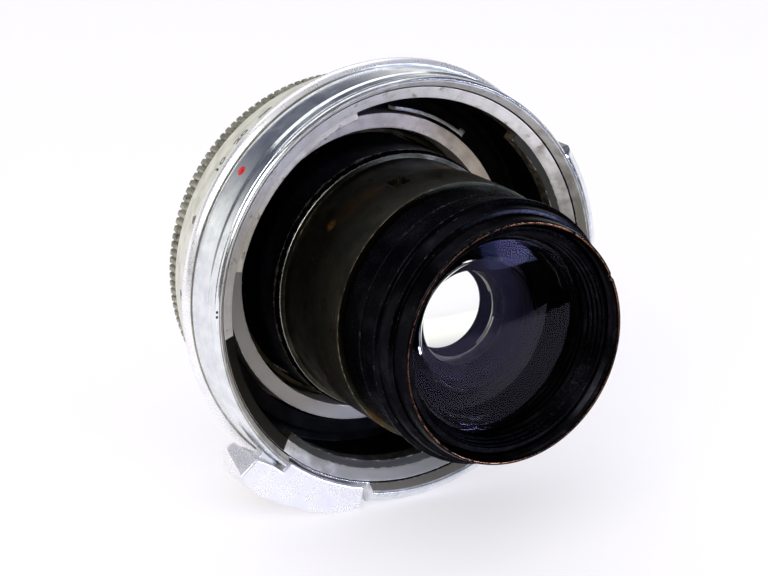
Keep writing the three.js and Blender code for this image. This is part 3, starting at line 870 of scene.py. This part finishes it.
def element(name, body, shape, finish, replaced, edge_finish, around=120):
    """Glass element with a blackened edge."""
    outline = element_outline(*shape)
    vertices, faces, tags = [], [], []
    size = len(outline)
    ring_ids = []
    for a, r in outline:
        if r == 0:
            vertices.append(place(a, 0, 0))
            ring_ids.append([len(vertices) - 1] * around)
            continue
        ids = []
        for i in range(around):
            vertices.append(place(a, r, 360 * i / around))
            ids.append(len(vertices) - 1)
        ring_ids.append(ids)
    rim = size // 2 - 1
    for k in range(size - 1):
        for i in range(around):
            j = (i + 1) % around
            corners = [ring_ids[k][i], ring_ids[k][j], ring_ids[k + 1][j], ring_ids[k + 1][i]]
            corners = list(dict.fromkeys(corners))
            faces.append(tuple(corners))
            tags.append(1 if k == rim else 0)
    return add_piece(name, vertices, faces, tags, None, [finish, edge_finish], body, replaced)


element("rear_element", "optical_block", (3.55, 120, 5.4, 60, 10.9), rear_coated, ["rear_glass"], velvet)
element("rear_doublet", "optical_block", (8.9, -60, 12.7, -60, 7.6), inner_coated,
        ["rear_doublet_outer", "rear_doublet_inner"], velvet)
element("front_doublet", "optical_block", (19.4, 40, 25.2, -22, 8.0), front_coated,
        ["front_doublet_inner", "front_doublet_outer"], velvet)
element("front_element", "optical_block", (31.0, 60, 36.4, -24, 10.7), front_coated, ["front_glass"], velvet)

# ---- Front of the lens ----
turned_ring("front_tube", "optical_block", [
    (18.9, 8.3, 0.04, 0),
    (18.9, 9.4, 0.04, 0),
    (26.0, 11.6, 0.04, 0),
    (38.3, 11.6, 0.04, 0),
    (38.3, 11.0, 0.04, 0),
    (26.6, 11.0, 0.04, 0),
    (25.6, 8.3, 0.04, 0),
], [black], ["front_cell"])
turned_ring("front_name_ring", "optical_block", [
    (38.6, 10.9, 0.03, 0),
    (38.6, 11.7, 0.03, 0),
    (39.8, 11.7, 0.06, 0),
    (39.8, 11.4, 0.04, 0),
    (39.3, 11.15, 0.03, 0),
    (39.2, 11.2, 0.03, 0),
    (38.6, 10.8, 0.03, 0),
    (38.5, 10.85, 0.03, 0),
    (37.9, 10.45, 0.03, 0),
    (37.8, 10.5, 0.03, 0),
    (37.0, 10.0, 0.04, 0),
    (36.0, 10.0, 0.04, 0),
], [black_rim], ["front_bezel"])
turned_ring("filter_thread_rim", "optical_block", [
    (38.6, 14.0, 0.05, 0),
    (38.6, 20.6, 0.06, 0),
    (40.3, 20.6, 0.12, 0),
    (40.5, 20.45, 0.05, 0),
    (40.5, 20.1, 0.06, 0),
    (40.3, 19.95, 0.02, 0),
    (40.1, 20.12, 0.02, 0),
    (39.95, 19.95, 0.02, 0),
    (39.8, 20.12, 0.02, 0),
    (39.65, 19.95, 0.02, 0),
    (39.2, 19.95, 0.03, 0),
    (39.2, 14.0, 0.05, 0),
], [satin], ["filter_rim"])

# Aperture ring with its tab.
TAB = (87, 93)


def aperture_outline(angle):
    tab = 40.45 if inside(angle, *TAB) else 40.0
    return rounded([
        (39.5, 12.1, 0.05, 0),
        (39.5, 19.6, 0.05, 0),
        (39.75, 19.6, 0.06, 0),
        (tab - 0.1, 19.2, 0.06, 0),
        (tab, 17.6, 0.06, 0),
        (40.2, 17.0, 0.05, 0),
        (40.2, 12.1, 0.06, 0),
    ])


aperture_angles = angles_with_steps(list(TAB))
swept("aperture_dial", "aperture_group", [(a, aperture_outline(a)) for a in aperture_angles], [black_rim],
      ["aperture_ring"])

DIAL_FACE, DIAL_FOOT = 40.2, 16.4


def dial_point(along, angle, lift):
    """Point on the dial's face, along mm in from the foot of its numerals."""
    return place(DIAL_FACE + lift, DIAL_FOOT - along, angle)


STOPS = [("2_8", "2.8", 90), ("4", "4", 79), ("5_6", "5.6", 68), ("8", "8", 57), ("11", "11", 46)]
STOP_FOOT, STOP_HEIGHT, STOP_RADIUS = 0.4, 1.5, 15.5
for name, text, angle in STOPS:
    numeral(f"stop_{name}", text, angle, STOP_FOOT, STOP_HEIGHT, "aperture_group", dial_point,
            STOP_RADIUS, white_ink)

# Iris plates with round openings.
turned_ring("iris_disc", "optical_block", [
    (13.1, 5.6, 0.03, 0),
    (13.1, 13.1, 0.03, 0),
    (13.7, 13.1, 0.03, 0),
    (13.7, 5.6, 0.03, 0),
], [well], ["iris_plate"])
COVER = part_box("iris_cover")
COVER_FROM, COVER_TO = (COVER[0].y - REAR) / MM, (COVER[1].y - REAR) / MM
COVER_RADIUS = (COVER[1].x - COVER[0].x) / MM / 2
ROD_SLOT = (63, 122)


def cover_outline(angle):
    outer = 11.5 if inside(angle, *ROD_SLOT) else COVER_RADIUS
    return rounded([
        (COVER_FROM, 5.1, 0.03, 0),
        (COVER_FROM, outer, 0.03, 0),
        (COVER_TO, outer, 0.03, 0),
        (COVER_TO, 5.1, 0.03, 0),
    ])


cover_angles = angles_with_steps(list(ROD_SLOT))
swept("stop_disc", "optical_block", [(a, cover_outline(a)) for a in cover_angles], [well], ["iris_cover"])

# ---- Lever ----
lever_outer = [(28.3, -139.6), (28.52, -135), (28.4, -131.5), (28.1, -127.5),
               (27.8, -123), (27.55, -118.5), (27.2, -113.5), (26.6, -108.5), (25.9, -104.3)]
lever_inner = [(23.35, angle) for angle in spread(-104.1, -130.4, 12)]
lever_short = [(24.7, -130.9), (24.75, -134), (25.1, -137.5), (25.5, -139.6)]
plate_piece("lever", "lever", lever_outer + lever_inner + lever_short, 22.0, 26.9, chrome_soft,
            ["lock_lever"], bevel=0.35, segments=4)
tab_near = [place(22.05, 28.28, -139.0), place(22.05, 25.5, -139.0), place(23.2, 26.0, -146.0),
            place(23.2, 27.2, -146.6)]
tab_far = [place(26.8, 28.2, -139.0), place(26.8, 25.6, -139.0), place(26.0, 26.0, -142.6),
           place(26.0, 27.2, -143.0)]
bar("lever_tab", "lever", (tab_near, tab_far), chrome_soft, bevel=0.2, segments=3)

# ---- Finishes of the CAD pieces that stay ----
CARRIED = {
    "lever_pin": steel,
    "lever_spring": steel,
    "helicoid_housing": well,
    "housing_screw_1": steel,
    "housing_screw_2": steel,
    "housing_screw_3": steel,
    "stop_pin_far": steel,
    "stop_pin_near": steel,
    "guide_key": steel,
    "focus_screw_1": steel,
    "focus_screw_2": steel,
    "focus_screw_3": steel,
    "front_spacer": black,
    "cam_ring": brass,
    "drive_rod": steel,
    "iris_blade_1": steel,
    "iris_blade_2": steel,
    "iris_blade_3": steel,
    "iris_blade_4": steel,
    "iris_blade_5": steel,
}
for name, finish in CARRIED.items():
    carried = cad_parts[name]
    carried.data.materials.clear()
    carried.data.materials.append(finish)

# ---- Floor, light and camera ----
scene = bpy.context.scene
scene.view_settings.view_transform = "Standard"


def flat_object(name, points, finish):
    mesh = bpy.data.meshes.new(name)
    mesh.from_pydata(points, [], [tuple(range(len(points)))])
    mesh.materials.append(finish)
    obj = bpy.data.objects.new(name, mesh)
    scene.collection.objects.link(obj)
    return obj


FLOOR = 12.0
FLOOR_NEAR, FLOOR_FAR = 0.6, 2.5  # m, between which the floor fades into the backdrop


def floor_finish():
    """Pale sheet that glows a little, as a lit backdrop does, and more so far away."""
    made = Finish("floor")
    position = made.node("ShaderNodeTexCoord").outputs["Object"]
    grain = made.noise(position, 3.0, 3.0)
    sheet = made.mix(grain, (0.40, 0.39, 0.405, 1), (0.42, 0.41, 0.425, 1))
    made.feed(made.shader.inputs["Base Color"], sheet)
    made.shader.inputs["Roughness"].default_value = 0.75
    away = made.node("ShaderNodeVectorMath", {0: position}, operation="LENGTH").outputs["Value"]
    part = made.span(away, FLOOR_NEAR, FLOOR_FAR)
    glow = made.mix(part, (0.985, 0.97, 1.0, 1), (1.0, 0.985, 0.945, 1))
    made.feed(made.shader.inputs["Emission Color"], glow)
    made.feed(made.shader.inputs["Emission Strength"], made.span(away, FLOOR_NEAR, FLOOR_FAR, 0.58, 1.0))
    return made.material


flat_object("floor", [
    (-FLOOR, -FLOOR, 0),
    (FLOOR, -FLOOR, 0),
    (FLOOR, FLOOR, 0),
    (-FLOOR, FLOOR, 0),
], floor_finish())


def studio_world():
    """Pale backdrop low down ahead, a slate blue room above it, and a dim room behind the camera."""
    world = bpy.data.worlds.new("studio")
    world.use_nodes = True
    scene.world = world
    made = Finish.of_world(world)
    direction = made.node("ShaderNodeTexCoord").outputs["Generated"]
    parts = made.node("ShaderNodeSeparateXYZ", {0: direction})
    low = made.span(parts.outputs[2], 0.08, 0.5, 1.0, 0.0)
    ahead = made.span(parts.outputs[1], -0.25, 0.35)
    room = made.mix(ahead, (0.12, 0.12, 0.13, 1), (0.075, 0.09, 0.13, 1))
    pale = made.mix(ahead, room, (1.08, 1.08, 1.06, 1))
    made.feed(world.node_tree.nodes["Background"].inputs["Color"], made.mix(low, room, pale))


studio_world()


def turn_to(obj, target, axis):
    """Points one of an object's own axes at a place."""
    aim = Vector(target) - Vector(obj.location)
    obj.rotation_euler = aim.to_track_quat(axis, "Y").to_euler()


def softbox(name, location, width, height, power, colour=(1, 1, 1)):
    """Soft light aimed at the middle of the part."""
    data = bpy.data.lights.new(name, "AREA")
    data.shape = "RECTANGLE"
    data.size = width
    data.size_y = height
    data.energy = power
    data.color = colour
    light = bpy.data.objects.new(name, data)
    light.location = location
    turn_to(light, (0, 0, 0.02), "-Z")
    scene.collection.objects.link(light)
    return light


softbox("overhead", (0.1, 0.45, 1.5), width=2.0, height=2.0, power=16, colour=(1.0, 0.99, 0.99))
softbox("left_rear", (-0.6, -0.55, 0.5), width=0.5, height=0.5, power=4)
fill = softbox("fill", (-0.6, -1.05, 1.2), width=2.2, height=1.6, power=20, colour=(0.99, 0.98, 1.0))
fill.visible_glossy = False


def hide_from_camera(obj):
    """A studio card: it shows in reflections and through glass, and casts no shadow."""
    obj.visible_camera = False
    obj.visible_shadow = False


# A dark flag on the floor in front of the lens.
FLAG_FROM, FLAG_TO, FLAG_SIDE, FLAG_LIFT = -0.083, -2.5, 2.5, 0.0006


def flag_finish():
    made = Finish("dark_flag")
    made.shader.inputs["Base Color"].default_value = (0.01, 0.01, 0.012, 1)
    made.shader.inputs["Roughness"].default_value = 1.0
    made.shader.inputs["Specular IOR Level"].default_value = 0.0
    return made.material


flag = flat_object("dark_flag", [
    (-FLAG_SIDE, FLAG_TO, FLAG_LIFT),
    (FLAG_SIDE, FLAG_TO, FLAG_LIFT),
    (FLAG_SIDE, FLAG_FROM, FLAG_LIFT),
    (-FLAG_SIDE, FLAG_FROM, FLAG_LIFT),
], flag_finish())
hide_from_camera(flag)
flag.visible_diffuse = False

# A round lamp further off, with a coiled tube.
LAMP_RADIUS = 0.2
LAMP_SIDES = 96
LAMP_PLACE = (0.60, -0.75, 0.11)
LAMP_TARGET = (0, -0.016, 0.025)
COIL_PITCH = 0.036
COIL_RADIUS = 0.108
COIL_FADE = 0.01


def lamp_finish():
    """Dim blue reflector with a bright coiled tube in the middle."""
    made = Finish("round_lamp")
    spot = made.node("ShaderNodeTexCoord").outputs["Object"]
    parts = made.node("ShaderNodeSeparateXYZ", {0: spot})
    x, y = parts.outputs[0], parts.outputs[1]
    square = made.math("ADD", made.math("MULTIPLY", x, x), made.math("MULTIPLY", y, y))
    radius = made.math("SQRT", square)
    turn = made.math("DIVIDE", made.math("ARCTAN2", y, x), 2 * math.pi)
    wound = made.math("ADD", made.math("DIVIDE", radius, COIL_PITCH), made.math("ADD", turn, 4.0))
    from_middle = made.math("ABSOLUTE", made.math("SUBTRACT", made.math("FRACT", wound), 0.5))
    tube = made.span(from_middle, 0.26, 0.42, 1.0, 0.35)
    inner = made.span(radius, COIL_RADIUS, COIL_RADIUS + COIL_FADE, 1.0, 0.0)
    bright = made.math("MULTIPLY", tube, inner)
    light = made.mix(bright, (0.10, 0.13, 0.2, 1), (0.72, 0.8, 1.3, 1))
    made.feed(made.shader.inputs["Emission Color"], light)
    made.shader.inputs["Emission Strength"].default_value = 28.0
    made.shader.inputs["Base Color"].default_value = (0, 0, 0, 1)
    return made.material


lamp_rim = [2 * math.pi * i / LAMP_SIDES for i in range(LAMP_SIDES)]
lamp = flat_object("round_lamp", [
    (LAMP_RADIUS * math.cos(t), LAMP_RADIUS * math.sin(t), 0) for t in lamp_rim
], lamp_finish())
lamp.location = LAMP_PLACE
turn_to(lamp, LAMP_TARGET, "Z")
hide_from_camera(lamp)

CAMERA_PLACE = (-0.1290, -0.2192, 0.1068)
CAMERA_YAW = 29.63
CAMERA_PITCH = -17.65
camera_data = bpy.data.cameras.new("camera")
camera_data.lens = 112.74
camera_data.sensor_width = 36
camera_data.clip_start = 0.01
camera = bpy.data.objects.new("camera", camera_data)
camera.location = CAMERA_PLACE
camera.rotation_euler = (math.radians(90 + CAMERA_PITCH), 0, math.radians(-CAMERA_YAW))
scene.collection.objects.link(camera)
scene.camera = camera

bpy.context.view_layer.update()
